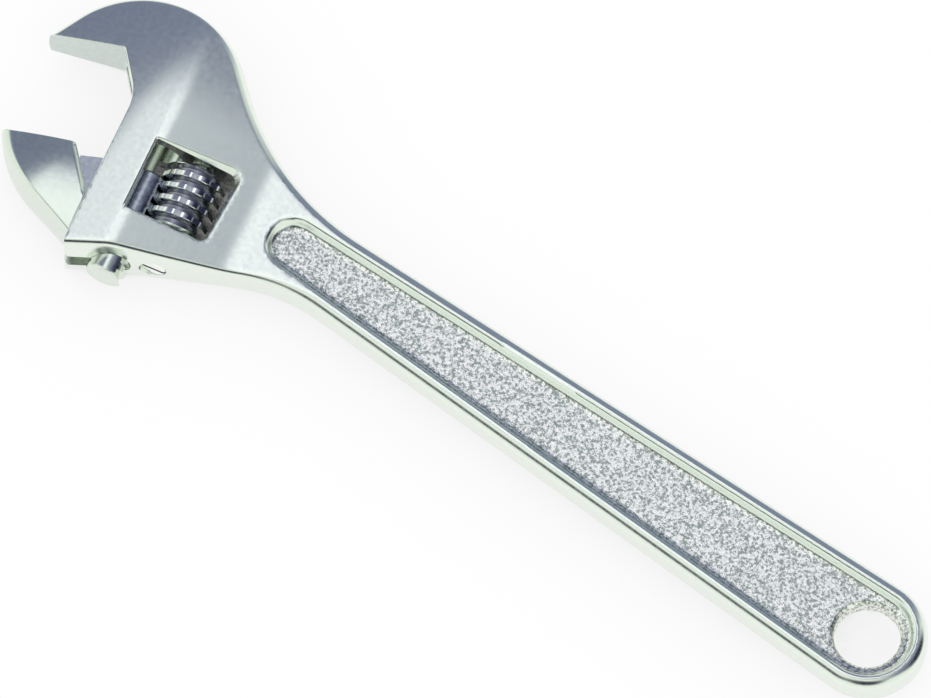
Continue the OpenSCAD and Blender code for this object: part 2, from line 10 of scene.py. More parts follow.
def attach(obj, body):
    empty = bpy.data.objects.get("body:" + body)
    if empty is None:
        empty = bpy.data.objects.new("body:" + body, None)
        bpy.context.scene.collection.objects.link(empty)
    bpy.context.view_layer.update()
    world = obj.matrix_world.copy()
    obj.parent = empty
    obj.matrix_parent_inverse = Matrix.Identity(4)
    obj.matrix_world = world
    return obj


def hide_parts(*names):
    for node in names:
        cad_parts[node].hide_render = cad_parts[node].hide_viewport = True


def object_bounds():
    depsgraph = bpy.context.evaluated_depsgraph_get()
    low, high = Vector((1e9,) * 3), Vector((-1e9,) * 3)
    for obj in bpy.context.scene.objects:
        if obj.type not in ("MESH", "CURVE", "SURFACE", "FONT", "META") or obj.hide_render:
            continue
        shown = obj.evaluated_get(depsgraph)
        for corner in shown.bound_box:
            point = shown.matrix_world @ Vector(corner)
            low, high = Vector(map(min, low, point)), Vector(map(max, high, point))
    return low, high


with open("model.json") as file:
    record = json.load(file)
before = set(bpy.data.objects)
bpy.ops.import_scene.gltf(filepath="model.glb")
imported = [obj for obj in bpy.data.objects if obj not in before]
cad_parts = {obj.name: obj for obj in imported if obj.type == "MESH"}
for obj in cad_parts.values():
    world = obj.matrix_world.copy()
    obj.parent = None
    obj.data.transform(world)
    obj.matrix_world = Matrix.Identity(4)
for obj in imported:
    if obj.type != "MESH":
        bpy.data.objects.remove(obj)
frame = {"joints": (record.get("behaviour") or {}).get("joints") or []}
cadLow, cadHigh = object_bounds()
mm = 0.001
print("frame loaded")

# ---- places that come from the frame

joints = {j["name"]: j for j in frame["joints"]}
slideAxis = Vector(joints["worm_turn"]["axis"]).normalized()
wormAt = Vector(joints["worm_turn"]["pos_m"]) / mm
slideLean = math.atan2(-slideAxis.x, slideAxis.y)
acrossAxis = np.array([math.cos(slideLean), math.sin(slideLean)])
alongAxis = np.array([-math.sin(slideLean), math.cos(slideLean)])

forging = {
    "tailRadius": 16.7, "neckHalf": 11.9, "neckGap": 55.0,  # handle outline
    "rimHeight": 10.6, "webHeight": 6.0, "rimWidth": 3.5, "slopeWidth": 1.7,
    "slopeSoftTop": 0.25, "slopeSoftFoot": 0.3, "panelEndGap": 36.5, "panelEndTrim": 0.7,
    "rimRound": 2.5, "edgeRound": 1.2, "roundLead": 5.0, "roundFade": 25.0, "backRoundGap": 5.0,
    "holeRadius": 9.3, "holeChamfer": 0.9, "holeSteps": 112,
    "headHeight": 19.8, "ridgeP": 0.9, "neckSlope": 8.0, "throatSlope": 0.8,  # head faces
    "ridgeSoft": 1.1, "neckSoft": 0.42, "wallBulge": 1.8, "crownQ": -19.0, "crownRadius": 270.0,
    "backRadius": 30.0, "backCentre": (12.1, -21.8), "tipTurn": -19.0, "tipOver": 16.0,
    "backFlare": 39.0, "backBlend": 76.0, "frontFlare": 26.5, "frontBlend": 50.0,
    "frontCornerQ": 25.0, "edgeAngle": 33.0, "edgeBlend": 40.0, "edgeOver": 4.0,
    "tipSlope": 2.2, "tipCurve": 240.0, "tipStart": 13.5, "tipSoft": 3.0,
    "wormOffset": 11.6,  # worm axis to guide axis
    "sharpOver": 32,
}
machined = {
    "slideP": 13.0, "throatQ": -20.5, "corner": (21.5, -32.7), "tipP": 43.0, "tipOver": 12.0,
    "jawAngle": 22.5, "jawOpen": 30.9, "slideCorner": 3.0, "slideCornerBack": 0.8, "slideOver": 6.0,
    "throatRound": 15.0, "cornerRound": 0.7, "edge": 0.3, "faceNear": 0.2, "faceTilt": 0.3,
}
window = {
    "p0": -22.4, "p1": 1.7, "halfLength": 11.0, "corner": 2.0, "sharpCorner": 0.5,
    "bevel": 0.45, "bevelMore": 1.3,
}
guide = {
    "boreRadius": 5.68, "boreStart": -35.1, "slotHeight": 5.8, "slotStart": -33.9,
    "slotTurnP": 13.15, "slotEnd": (21.5, -31.33), "cutEnd": 60.0,
    "pinRadius": 2.06, "pinStart": -18.0, "pinHeadRadius": 3.75, "pinHeadStart": 18.85, "pinSteps": 64,
}
slidingJaw = {
    "height": 17.5, "backCentre": (14.95, -10.47), "backRadius": 31.0, "backStraight": 65.1,
    "heelEdge": 0.5, "tipEdge": 2.4, "edge": 0.4,
    "nest": ((13.15, 11.385), (20.4, 0.979), (22.3, -1.652)), "nestRounds": (10.0, 1.4, 1.2),
    "nestTopQ": 35.0, "faceEndP": 50.0,  # where the machined outline leaves the slab
    "bevelWidth": 1.1, "bevelHeight": 0.9, "bevelSoft": 0.3,
    "crownAt": (21.7, 10.95), "crownTurn": 22.5, "crownRadius": 70.0,
    "tipStart": 22.0, "tipCurve": 75.0,
    "neckHeel": 14.35, "neckTurn": 13.15, "neckEdge": 20.3, "neckStart": -2.4,
    "neckEdgeStart": -0.2, "neckTopEdge": 2.8, "neckTopHeel": 11.3, "neckEnd": 22.5, "neckHeight": 5.5,
    "shankRadius": 5.6, "shankStart": -3.0, "shankEnd": 29.5, "shankChamfer": 0.6,
    # the last value on the next line is where the shade painted on the neck and shank stops
    "shankEndChamfer": 1.0, "shankEndSoft": 0.3, "neckShadeEnd": 20.0,
    "reliefOver": 5.0, "grooveOver": 1.5, "grooveSteps": 128,
    "markOver": 0.05, "markFlat": 0.9, "markOutside": 0.02, "sharpOver": 32,
}
worm = {
    "radius": 9.3, "coreRadius": 6.9, "pitch": 4.0, "crest": 1.5, "root": 2.3, "gap": 0.1,
    "leadAngle": 4.49, "start": -9.15, "end": 10.85, "taper": 1.4,
    "notches": 11, "notchDepth": 0.2, "notchFrom": -0.6, "notchTo": 0.95, "notchColumns": 14,
    "bore": 2.06, "springBore": 3.55, "springDepth": 3.0,
    "rows": 157, "span": 31.2,  # along the axis, faces and bore included
    "mergeGap": 0.002, "sharpOver": 40,
}
pin = {
    "radius": 2.0, "start": -17.85, "end": 21.6, "headRadius": 3.6, "headHeight": 2.6,
    "pointBevel": 0.4, "seatBevel": 0.15, "headCrown": ((0, 0.7), (0.12, 0.35), (0.4, 0.1), (0.8, 0)),
    "slotWidth": 1.0, "slotDepth": 1.1, "slotOver": 1.0, "sharpOver": 30,
}
spring = {
    "radius": 2.8, "wire": 0.35, "start": -10.6, "length": 4.05, "turns": 3.5,
    "coilSteps": 40, "wireSteps": 12, "sharpOver": 50,
}
meshing = {
    "step": 0.9, "turn": 12.0, "bulgeRings": 4, "roundRings": 6, "insetPasses": 4,
    "bevelSoft": 0.14, "bevelLip": 0.04, "joinZone": 9, "joinGap": 0.4,
    "floorGrid": 1.0, "floorInset": 1.6, "floorBox": ((-14, -15), (205, 15)),
    "headGrid": 1.3, "headOutset": 0.9, "headBox": ((165, -60), (310, 60)), "jawGrid": 1.0,
    "edgeGap": 0.45, "rowGap": 0.55, "nestGap": 0.5,  # least distances between points
    "slopeRows": (-0.2, 0.0, 0.2, 0.42, 0.64, 0.84, 1.05, 1.3), "ridgeRun": (-60, 40),
    "ridgeRows": (-2.0, -1.2, -0.6, 0, 0.6, 1.2, 2.0),
    "neckRows": (-3.6, -2.4, -1.2, 0, 1.2, 2.4, 3.6),
    "nestRows": (0.5, 0.85, 1.1, 1.35, 1.8), "nestStep": 0.8, "nestOver": 4,
    "turnedSteps": 96, "batch": 4000, "samePlace": 1e-6, "samePoint": 1e-7, "tiny": 1e-12,
    "faceWeight": 60,
}

wormP = -forging["wormOffset"]
headAt = np.array([wormAt.x, wormAt.y]) - wormP * acrossAxis


# ---- plan geometry, in millimetres

def tangent(degrees):
    return math.tan(math.radians(degrees))


def direction(degrees):
    a = math.radians(degrees)
    return np.array([math.cos(a), math.sin(a)])


def directions(angles):  # in radians
    return np.stack([np.cos(angles), np.sin(angles)], 1)


def toPlan(p, q):
    return headAt + p * acrossAxis + q * alongAxis


def toSlide(points):
    d = np.asarray(points) - headAt
    return d @ acrossAxis, d @ alongAxis


def meet(a, angleA, b, angleB):  # where two lines cross
    da, db = direction(angleA), direction(angleB)
    d = b - a
    return a + da * (d[0] * db[1] - d[1] * db[0]) / (da[0] * db[1] - da[1] * db[0])


def blendCentre(corner, radius, a0, a1):
    start = corner - direction(a0) * radius * math.tan(math.radians(abs(a1 - a0)) / 2)
    return start + radius * direction(a0 + (90 if a1 > a0 else -90))


def arc(centre, radius, a0, a1, hollow=False):  # points with their outward directions
    length = abs(math.radians(a1 - a0)) * radius
    count = max(math.ceil(abs(a1 - a0) / meshing["turn"]), math.ceil(length / meshing["step"]))
    out = directions(np.radians(np.linspace(a0, a1, count + 1)))
    return centre + radius * out, -out if hollow else out


def straight(a, b, normal):  # inner points of a straight run
    count = max(2, math.ceil(np.linalg.norm(b - a) / meshing["step"]))
    t = np.linspace(0, 1, count + 1)[1:-1, None]
    return a + t * (b - a), np.repeat(normal[None], count - 1, 0)


def joinRuns(runs):  # straight stretches fill the space between neighbouring runs
    points, normals = [runs[0][0]], [runs[0][1]]
    for run in runs[1:]:
        a, b = points[-1][-1], run[0][0]
        if np.linalg.norm(b - a) > meshing["samePlace"]:
            d = (b - a) / np.linalg.norm(b - a)
            fill, fillNormals = straight(a, b, np.array([d[1], -d[0]]))
            points.append(fill)
            normals.append(fillNormals)
        points.append(run[0])
        normals.append(run[1])
    points, normals = np.concatenate(points), np.concatenate(normals)
    keep = np.r_[True, np.linalg.norm(np.diff(points, axis=0), axis=1) > meshing["samePlace"]]
    return points[keep], normals[keep]


def softMin(a, b, k):
    h = np.maximum(k - np.abs(a - b), 0) / k
    return np.minimum(a, b) - h * h * k / 4


def softMax(a, b, k):
    return -softMin(-a, -b, k)


# ---- the forging's outline and faces

def forgedOutline():
    f = forging
    neckX = headAt[0] - f["neckGap"]
    taper = math.degrees(math.asin((f["tailRadius"] - f["neckHalf"]) / neckX))
    backC = toPlan(*f["backCentre"])
    backTouch = backC + f["backRadius"] * direction(-90 - f["backFlare"])
    backCorner = meet(f["tailRadius"] * direction(taper - 90), taper, backTouch, -f["backFlare"])
    frontCorner = toPlan(0, f["frontCornerQ"])
    flareCorner = meet(f["tailRadius"] * direction(90 - taper), -taper, frontCorner, f["frontFlare"])
    slideEnd = meet(frontCorner, f["edgeAngle"], toPlan(machined["slideP"], 0),
                    90 + math.degrees(slideLean))
    past = slideEnd + f["edgeOver"] * direction(f["edgeAngle"])
    tip = backC + f["backRadius"] * direction(f["tipTurn"])
    tipPast = tip + f["tipOver"] * direction(f["tipTurn"] + 90)
    edgeNormal, tipNormal = direction(f["edgeAngle"] + 90), direction(f["tipTurn"])
    return slideEnd, joinRuns([
        (past[None], edgeNormal[None]),
        arc(blendCentre(frontCorner, f["edgeBlend"], f["frontFlare"], f["edgeAngle"]), f["edgeBlend"],
            f["edgeAngle"] - 90, f["frontFlare"] - 90, hollow=True),
        arc(blendCentre(flareCorner, f["frontBlend"], -taper, f["frontFlare"]), f["frontBlend"],
            f["frontFlare"] - 90, -90 - taper, hollow=True),
        arc(np.zeros(2), f["tailRadius"], 90 - taper, 270 + taper),
        arc(blendCentre(backCorner, f["backBlend"], taper, -f["backFlare"]), f["backBlend"],
            90 + taper, 90 - f["backFlare"], hollow=True),
        arc(backC, f["backRadius"], -90 - f["backFlare"], f["tipTurn"]),
        (tipPast[None], tipNormal[None])])


def faceQ(p):  # the fixed jaw's face, in the slide frame
    lean = math.radians(machined["jawAngle"]) - slideLean
    return machined["corner"][1] + (p - machined["corner"][0]) * math.tan(lean)


def filletArc(before, corner, after, radius):  # round in a corner of the machined outline
    a0 = math.degrees(math.atan2(*(corner - before)[::-1]))
    a1 = math.degrees(math.atan2(*(after - corner)[::-1]))
    turn = (a1 - a0 + 180) % 360 - 180
    side = 90 if turn > 0 else -90
    centre = blendCentre(corner, radius, a0, a0 + turn)
    return arc(centre, radius, a0 - side, a0 + turn - side, hollow=turn < 0)


def machinedOutline(slideEnd):
    m = machined
    past = m["tipP"] + m["tipOver"]
    tipPast = toPlan(past, faceQ(past))
    corner = toPlan(*m["corner"])
    throat = toPlan(m["slideP"], m["throatQ"])
    r = m["slideCorner"]
    endP, endQ = toSlide(slideEnd)
    roundAt = toPlan(endP - r, endQ - r - m["slideCornerBack"])
    lean = math.degrees(slideLean)
    slidePast = toPlan(endP - r - m["slideOver"], endQ - m["slideCornerBack"])
    return joinRuns([
        (tipPast[None], direction(m["jawAngle"] + 90)[None]),
        filletArc(tipPast, corner, throat, m["cornerRound"]),
        filletArc(corner, throat, toPlan(m["slideP"], 0), m["throatRound"]),
        arc(roundAt, r, lean, lean + 90),
        (slidePast[None], direction(lean + 90)[None])])


def panelEnds():  # radii at the tail and the neck, and the length between their centres
    f = forging
    tail = f["tailRadius"] - f["rimWidth"]
    neck = f["neckHalf"] - f["panelEndTrim"] - f["rimWidth"]
    return tail, neck, headAt[0] - f["panelEndGap"] - neck


def panelDistance(points):  # how far inside the rim's inner edge a point is
    startRadius, endRadius, length = panelEnds()
    x, y = points[:, 0], np.abs(points[:, 1])
    slope = (startRadius - endRadius) / length
    normalY = math.sqrt(1 - slope * slope)
    along = x * normalY - y * slope
    distance = x * slope + y * normalY - startRadius
    distance = np.where(along < 0, np.hypot(x, y) - startRadius, distance)
    return -np.where(along > length * normalY, np.hypot(x - length, y) - endRadius, distance)


def bodyHeight(points):
    f = forging
    headHalf, rimHalf, webHalf = f["headHeight"] / 2, f["rimHeight"] / 2, f["webHeight"] / 2
    p, q = toSlide(points)
    rise = headHalf - (f["ridgeP"] - p) * tangent(f["neckSlope"])
    fall = headHalf - (p - f["ridgeP"]) * tangent(f["throatSlope"])
    dx = softMax(points[:, 0] - headAt[0] - f["tipStart"], 0 * p, f["tipSoft"])
    drop = dx * tangent(f["tipSlope"]) + dx * dx / (2 * f["tipCurve"])
    drop = drop + np.maximum(f["crownQ"] - q, 0) ** 2 / (2 * f["crownRadius"])
    ridge = softMin(rise, fall, f["ridgeSoft"] * tangent(f["neckSlope"]) * 2) - drop
    z = softMax(ridge, np.full(len(points), rimHalf), f["neckSoft"])
    depth = softMax(panelDistance(points) / f["slopeWidth"], 0 * p, f["slopeSoftTop"])
    depth = softMin(depth, 1 + 0 * p, f["slopeSoftFoot"])
    return z - (rimHalf - webHalf) * depth


def crestRadius(points):  # the back edge keeps the rim's round for longer
    f = forging
    start = np.where(points[:, 1] < 0, headAt[0] - f["backRoundGap"],
                     headAt[0] - f["neckGap"] - f["roundLead"])
    t = np.clip((points[:, 0] - start) / f["roundFade"], 0, 1)
    return f["rimRound"] + (f["edgeRound"] - f["rimRound"]) * t * t * (3 - 2 * t)


# ---- plates: a height over a plan, with rings of points down each edge

def ringsDown(points, normals, radius, bulge, height):
    lower, upper = meshing["bulgeRings"], meshing["roundRings"]
    full = forging["headHeight"] / 2
    inset = radius + 0 * points[:, 0]
    for _ in range(meshing["insetPasses"]):  # the crest lies on the face at its own inset
        top = height(points - normals * inset[:, None])
        inset = bulge * (top / full) ** 2 + radius
    ringsXy, ringsZ = [], []
    for m in range(lower + upper + 1):
        a = max(0, m - lower) * math.pi / 2 / upper
        z = (top - radius) * min(m, lower) / lower + radius * math.sin(a)
        inset = bulge * (z / full) ** 2 + radius * (1 - math.cos(a))
        ringsXy.append(points - normals * inset[:, None])
        ringsZ.append(z)
    return ringsXy, ringsZ


def crossing(a, b):  # first crossing of two point runs, as fractional places on both
    d0, d1 = np.diff(a, axis=0)[:, None], np.diff(b, axis=0)[None]
    gap = b[:-1][None] - a[:-1][:, None]
    det = d0[..., 0] * d1[..., 1] - d0[..., 1] * d1[..., 0]
    det = np.where(np.abs(det) < meshing["tiny"], meshing["tiny"], det)
    s = (gap[..., 0] * d1[..., 1] - gap[..., 1] * d1[..., 0]) / det
    t = (gap[..., 0] * d0[..., 1] - gap[..., 1] * d0[..., 0]) / det
    hits = np.argwhere((s >= 0) & (s <= 1) & (t >= 0) & (t <= 1))
    if len(hits) == 0:
        raise ValueError("the outlines don't cross")
    i, j = hits[0]
    return i + s[i, j], j + t[i, j]


def sample(run, places):
    low = np.clip(np.floor(places).astype(int), 0, len(run) - 2)
    t = places - low
    if run.ndim == 2:
        t = t[:, None]
    return run[low] * (1 - t) + run[low + 1] * t


def closeRings(forged, cut):  # joins a forged and a machined run, ring by ring
    zone, gap = meshing["joinZone"], meshing["joinGap"]
    rings, base = [], None
    for (fxy, fz), (mxy, mz) in zip(zip(*forged), zip(*cut)):
        middle, half = len(fxy) // 2, len(mxy) // 2
        f0, m1 = crossing(fxy[:middle], mxy[half:])
        f1, m0 = crossing(fxy[middle:], mxy[:half])
        ends = (f0, middle + f1, m0, half + m1)
        base = base or ends
        xy, z = [], []
        for run, runZ, a, b, a0, b0 in ((fxy, fz, ends[0], ends[1], base[0], base[1]),
                                        (mxy, mz, ends[2], ends[3], base[2], base[3])):
            places = np.r_[a0, np.arange(math.ceil(a0 + gap), b0 - gap)]
            places = np.interp(places, [a0, a0 + zone, b0 - zone, b0], [a, a0 + zone, b0 - zone, b])
            xy.append(sample(run, places))
            z.append(sample(runZ, places))
        rings.append((np.concatenate(xy), np.concatenate(z)))
    return rings


def insideLoops(points, loops):
    inside = np.zeros(len(points), bool)
    for loop in loops:
        a, b = loop, np.roll(loop, -1, 0)
        for start in range(0, len(points), meshing["batch"]):
            part = slice(start, start + meshing["batch"])
            x, y = points[part, :1], points[part, 1:]
            spans = (a[:, 1] > y) != (b[:, 1] > y)
            rise = np.where(b[:, 1] == a[:, 1], meshing["tiny"], b[:, 1] - a[:, 1])
            left = x < (b[:, 0] - a[:, 0]) * (y - a[:, 1]) / rise + a[:, 0]
            inside[part] ^= (np.sum(spans & left, 1) % 2).astype(bool)
    return inside


def thin(points, fixed, gap):  # drops points nearer than gap to fixed ones
    if len(points) == 0:
        return points
    tree = kdtree.KDTree(len(fixed))
    for i, p in enumerate(fixed):
        tree.insert((p[0], p[1], 0), i)
    tree.balance()
    return points[[tree.find((p[0], p[1], 0))[2] > gap for p in points]]


def link(name, data):
    made = bpy.data.objects.new(name, data)
    bpy.context.scene.collection.objects.link(made)
    return made


def plateMesh(name, loops, height, inner):
    # loops: for each, its rings from mid thickness to the face, the outermost loop first
    tops = [rings[-1][0] for rings in loops]
    inner = inner[insideLoops(inner, tops)]
    inner = thin(inner, np.concatenate(tops), meshing["edgeGap"])
    plan = np.concatenate(tops + [inner])
    edges, start = [], 0
    for loop in tops:
        n = len(loop)
        edges += [(start + i, start + (i + 1) % n) for i in range(n)]
        start += n
    made = delaunay_2d_cdt([Vector(p) for p in plan], edges, [], 0, meshing["samePoint"])
    if len(made[0]) != len(plan):
        raise ValueError(f"{name}: the plan gained or lost {len(made[0]) - len(plan)} points")
    order = np.array([o[0] for o in made[3]])
    triangles = order[np.array(made[2])]
    triangles = triangles[insideLoops(plan[triangles].mean(1), tops)]
    a, b, c = plan[triangles.T]
    area = (b[:, 0] - a[:, 0]) * (c[:, 1] - a[:, 1]) - (b[:, 1] - a[:, 1]) * (c[:, 0] - a[:, 0])
    triangles = np.where(area[:, None] < 0, triangles[:, ::-1], triangles)
    z = height(plan)
    n = len(plan)
    points = [np.c_[plan, z], np.c_[plan, -z]]
    faces = [tuple(t) for t in triangles] + [tuple(t[::-1] + n) for t in triangles]
    offset, start = 2 * n, 0
    for rings, loop in zip(loops, tops):
        count = len(loop)
        around = np.arange(count)
        rows = {}
        for m, (xy, ringZ) in enumerate(rings[:-1]):
            for side in ((1,) if m == 0 else (1, -1)):
                rows[side * m] = offset + around
                points.append(np.c_[xy, side * ringZ])
                offset += count
        last = len(rings) - 1
        rows[last], rows[-last] = start + around, n + start + around
        for m in range(-last, last):
            low, high, nxt = rows[m], rows[m + 1], (around + 1) % count
            faces += [(low[i], low[nxt[i]], high[nxt[i]], high[i]) for i in around]
        start += count
    mesh = bpy.data.meshes.new(name)
    mesh.from_pydata((np.concatenate(points) * mm).tolist(), [], faces)
    mesh.validate()
    return link(name, mesh)


def circleLoop(centre, radius, steps):  # clockwise, with directions into the hole
    out = directions(-np.linspace(0, 2 * math.pi, steps, endpoint=False))
    return centre + radius * out, -out


def windowLoop():
    w = window
    corners = []
    for p, q, r, turn in ((w["p1"], w["halfLength"], w["sharpCorner"], 0),
                          (w["p0"], w["halfLength"], w["corner"], 90),
                          (w["p0"], -w["halfLength"], w["corner"], 180),
                          (w["p1"], -w["halfLength"], w["sharpCorner"], 270)):
        centre = toPlan(p - math.copysign(r, p), q - math.copysign(r, q))
        start = turn + math.degrees(slideLean)
        corners.append(arc(centre, r, start, start + 90))
    points, normals = joinRuns(corners + [(corners[0][0][:1], corners[0][1][:1])])
    return points[:-1][::-1], -normals[:-1][::-1]


def windowBevel(points):  # widest at the corner away from the slide
    p, q = toSlide(points)
    over = np.clip((window["p1"] - p) / (window["p1"] - window["p0"]), 0, 1)
    back = np.clip(0.5 - q / window["halfLength"] / 2, 0, 1)
    return window["bevel"] + window["bevelMore"] * over * back


def holeRings(points, into, bevel, height):  # straight wall with a bevel at the face
    soft, lip = meshing["bevelSoft"], meshing["bevelLip"]
    top = height(points - into * (bevel + soft)[:, None])
    rings = [(points, 0 * top), (points, (top - bevel) / 2), (points, top - bevel - soft)]
    for inset, drop in ((lip + 0 * bevel, bevel - lip), (soft + 0 * bevel, bevel - soft),
                        (bevel - soft, soft), (bevel - lip / 2, lip), (bevel + soft, 0)):
        rings.append((points - into * inset[:, None], top - drop))
    return rings


def gridPoints(low, high, gap):  # staggered grid
    xs = np.arange(low[0], high[0], gap)
    ys = np.arange(low[1], high[1], gap * math.sqrt(3) / 2)
    x, y = np.meshgrid(xs, ys)
    x = x + (np.arange(len(ys)) % 2)[:, None] * gap / 2
    return np.stack([x.ravel(), y.ravel()], 1)


def panelRows():  # rows of points along the panel's sloping wall
    startRadius, endRadius, length = panelEnds()
    tilt = math.degrees(math.asin((startRadius - endRadius) / length))
    rows = []
    for depth in np.array(meshing["slopeRows"]) * forging["slopeWidth"]:
        tail = arc(np.zeros(2), startRadius - depth, 90 - tilt, 270 + tilt)
        end = arc(np.array([length, 0.0]), endRadius - depth, tilt - 90, 90 - tilt)
        points, _ = joinRuns([tail, end, (tail[0][:1], tail[1][:1])])
        rows.append(points[:-1])
    return np.concatenate(rows)


def ridgeRows():
    f = forging
    q = np.arange(*meshing["ridgeRun"], meshing["headGrid"])
    drop = (f["headHeight"] - f["rimHeight"]) / 2
    neckP = f["ridgeP"] - drop / tangent(f["neckSlope"])
    rows = [f["ridgeP"] + d for d in meshing["ridgeRows"]] + [neckP + d for d in meshing["neckRows"]]
    return np.concatenate([headAt + p * acrossAxis + q[:, None] * alongAxis for p in rows])


# ---- solids in the slide frame

def settle(piece):  # applies what the modifiers make
    depsgraph = bpy.context.evaluated_depsgraph_get()
    made = bpy.data.meshes.new_from_object(piece.evaluated_get(depsgraph), depsgraph=depsgraph)
    old = piece.data
    piece.modifiers.clear()
    piece.data = made
    bpy.data.meshes.remove(old)
    return piece


def combine(piece, others, operation="DIFFERENCE"):
    for other in others:
        step = piece.modifiers.new("combine", "BOOLEAN")
        step.operation, step.solver, step.object = operation, "EXACT", other
    settle(piece)
    for other in others:
        mesh = other.data
        bpy.data.objects.remove(other)
        bpy.data.meshes.remove(mesh)
    return piece


def placed(spot, x, z):  # at a spot, with the local X and Z axes given
    return Matrix.Translation(spot) @ Matrix((x, z.cross(x), z)).transposed().to_4x4()


def slideMatrix(p, tilt=0.0, q=0.0):  # local X across the slide, Z along it, millimetres to metres
    place = placed(Vector((*toPlan(p, q), 0)) * mm, Vector((*acrossAxis, 0)), Vector((*alongAxis, 0)))
    return place @ Matrix.Rotation(math.radians(tilt), 4, "X") @ Matrix.Scale(mm, 4)


def turnedShape(shape, profile, matrix, steps, closed=False):  # revolves (radius, height) pairs
    rows = []
    for r, h in profile:
        rows.append([shape.verts.new(matrix @ Vector((r * math.cos(a), r * math.sin(a), h)))
                     for a in np.linspace(0, 2 * math.pi, steps, endpoint=False)])
    for low, high in zip(rows, rows[1:] + (rows[:1] if closed else [])):
        for i in range(steps):
            j = (i + 1) % steps
            shape.faces.new((low[i], low[j], high[j], high[i]))
    if not closed:
        shape.faces.new(rows[0][::-1])
        shape.faces.new(rows[-1])


def pieceFrom(name, shape):
    mesh = bpy.data.meshes.new(name)
    shape.to_mesh(mesh)
    shape.free()
    return link(name, mesh)


def turned(name, profile, p, steps=meshing["turnedSteps"]):
    shape = bmesh.new()
    turnedShape(shape, profile, slideMatrix(p), steps)
    return pieceFrom(name, shape)


def prism(name, corners, low, high):  # corners in the slide frame, anticlockwise
    shape = bmesh.new()
    rows = [[shape.verts.new(Vector((*toPlan(p, q), z)) * mm) for p, q in corners] for z in (low, high)]
    count = len(corners)
    for i in range(count):
        j = (i + 1) % count
        shape.faces.new((rows[0][i], rows[0][j], rows[1][j], rows[1][i]))
    shape.faces.new(rows[0][::-1])
    shape.faces.new(rows[1])
    return pieceFrom(name, shape)


def smooth(piece, angle):
    piece.data.shade_smooth()
    piece.data.set_sharp_from_angle(angle=math.radians(angle))
    weigh = piece.modifiers.new("weigh", "WEIGHTED_NORMAL")
    weigh.keep_sharp, weigh.weight = True, meshing["faceWeight"]
    return settle(piece)


def addValues(piece, name, values):
    layer = piece.data.attributes.new(name, "FLOAT", "POINT")
    layer.data.foreach_set("value", np.asarray(values, np.float32))


def dress(piece, *materials):
    piece.data.materials.clear()
    for material in materials:
        piece.data.materials.append(material)


def vertexPlaces(piece):
    places = np.empty(len(piece.data.vertices) * 3, np.float32)
    piece.data.vertices.foreach_get("co", places)
    return places.reshape(-1, 3).astype(float) / mm


# ---- the forging: handle, head and fixed jaw

def markFace(piece):  # the fixed jaw's ground face takes the second material: a rougher ground finish, with its darker colour painted shade
    m = machined
    for face in piece.data.polygons:
        p, q = toSlide(np.array(face.center[:2]) / mm)
        ground = abs(q - faceQ(p)) < m["faceNear"] and abs(face.normal.z) < m["faceTilt"]
        face.material_index = int(p > m["corner"][0] and ground)


def makeBody():
    f, g = forging, guide
    slideEnd, (points, normals) = forgedOutline()
    forged = ringsDown(points, normals, crestRadius(points), f["wallBulge"], bodyHeight)
    points, normals = machinedOutline(slideEnd)
    cut = ringsDown(points, normals, machined["edge"] + 0 * points[:, 0], 0.0, bodyHeight)
    outer = closeRings(forged, cut)
    points, into = windowLoop()
    opening = holeRings(points, into, windowBevel(points), bodyHeight)
    points, into = circleLoop(np.zeros(2), f["holeRadius"], f["holeSteps"])
    hole = holeRings(points, into, f["holeChamfer"] + 0 * points[:, 0], bodyHeight)
    rows = np.concatenate([panelRows(), ridgeRows()])
    floor = gridPoints(*meshing["floorBox"], meshing["floorGrid"])
    floor = floor[panelDistance(floor) > meshing["floorInset"] * f["slopeWidth"]]
    grid = gridPoints(*meshing["headBox"], meshing["headGrid"])
    grid = thin(grid[panelDistance(grid) < -meshing["headOutset"]], rows, meshing["rowGap"])
    inner = np.concatenate([rows, floor, grid])
    body = plateMesh("forged_body", [outer, opening, hole], bodyHeight, inner)
    print(f"body plate: {len(body.data.polygons)} faces")
    far = g["cutEnd"]
    cutters = [
        turned("bore", [(g["boreRadius"], g["boreStart"]), (g["boreRadius"], far)], 0),
        prism("slot", [(0, g["slotStart"]), (g["slotTurnP"], g["slotStart"]), g["slotEnd"],
                       (g["slotEnd"][0], far), (0, far)], -g["slotHeight"] / 2, g["slotHeight"] / 2),
        turned("pinBore", [(g["pinRadius"], g["pinStart"]), (g["pinRadius"], g["pinHeadStart"]),
                           (g["pinHeadRadius"], g["pinHeadStart"]), (g["pinHeadRadius"], far)],
               wormP, g["pinSteps"])]
    combine(body, cutters)
    places = vertexPlaces(body)
    addValues(body, "panel", np.clip(panelDistance(places[:, :2]) / f["slopeWidth"], 0, 1))
    return smooth(body, f["sharpOver"])


# ---- the sliding jaw

def nestEdge():  # start, length and direction of the edge that nests in the throat
    a, b = (toPlan(*corner) for corner in slidingJaw["nest"][:2])
    length = np.linalg.norm(b - a)
    return a, length, (b - a) / length


def nestDistance(points):  # how far inside that edge a point is
    a, _, run = nestEdge()
    return (points[:, 1] - a[1]) * run[0] - (points[:, 0] - a[0]) * run[1]


def jawHeight(points):
    s = slidingJaw
    half = s["height"] / 2
    ridge, turn = toPlan(*s["crownAt"]), direction(s["crownTurn"])
    across = (points[:, 1] - ridge[1]) * turn[0] - (points[:, 0] - ridge[0]) * turn[1]
    dx = np.maximum(points[:, 0] - headAt[0] - s["tipStart"], 0)
    drop = across ** 2 / (2 * s["crownRadius"]) + dx ** 2 / (2 * s["tipCurve"])
    nest = softMax(1 - nestDistance(points) / s["bevelWidth"], 0 * drop, s["bevelSoft"])
    return half - drop - s["bevelHeight"] * nest


